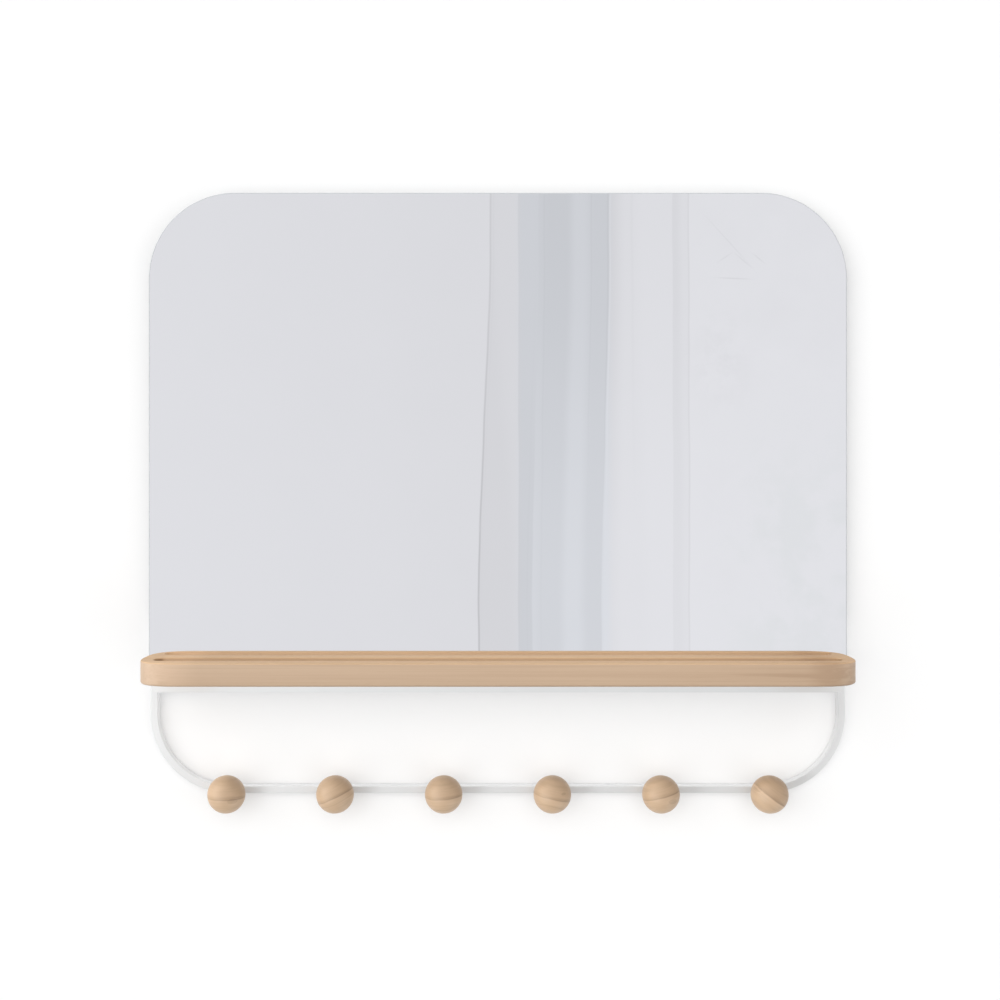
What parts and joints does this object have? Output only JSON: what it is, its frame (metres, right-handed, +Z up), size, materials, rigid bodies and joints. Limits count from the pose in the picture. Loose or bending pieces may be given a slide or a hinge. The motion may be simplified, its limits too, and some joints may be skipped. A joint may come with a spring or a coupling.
{
  "type": "wall mirror with shelf and hooks",
  "caption": "Frameless wall mirror with round top corners, a grooved wood shelf, and a white steel hoop below that carries a row of wooden ball hooks.",
  "frame": {"origin": "midway between the two wall keyholes, in the plane of the wall", "axes": "+X along the mirror to the viewer's right, +Y into the wall, +Z up; the glass faces -Y"},
  "size_m": [0.61, 0.1038, 0.5392],
  "materials": {
    "silvered_glass": "clear silvered float glass with a polished edge",
    "shelf_wood": "pale straight-grained hardwood, matt lacquer",
    "ball_wood": "turned pale hardwood, matt lacquer",
    "white_steel": "fine-textured white powder coat",
    "zinc": "zinc plated",
    "brass": "turned",
    "film": "woven splinter film",
    "foam": "closed-cell foam tape",
    "rubber": "matt"
  },
  "bodies": {
    "root": {"mirror_glass": "silvered_glass", "safety_film": "film", "mounting_tapes": "foam", "glass_pads": "rubber", "back_plate": "white_steel", "shelf_bracket": "white_steel", "bracket_rivets": "zinc", "shelf": "shelf_wood", "shelf_screws": "zinc", "hoop_bar": "white_steel", "hoop_arm_left": "white_steel", "hoop_arm_right": "white_steel", "hoop_tab_left": "white_steel", "hoop_tab_right": "white_steel", "hoop_studs": "zinc", "hoop_nuts": "zinc", "ball_1": "ball_wood", "ball_2": "ball_wood", "ball_3": "ball_wood", "ball_4": "ball_wood", "ball_5": "ball_wood", "ball_6": "ball_wood", "collar_1": "white_steel", "collar_2": "white_steel", "collar_3": "white_steel", "collar_4": "white_steel", "collar_5": "white_steel", "collar_6": "white_steel", "hook_studs": "zinc", "ball_inserts": "brass", "hanger_rail": "white_steel", "lower_rail": "white_steel", "rail_rivets": "zinc", "wall_bumpers": "rubber"}
  },
  "joints": []
}
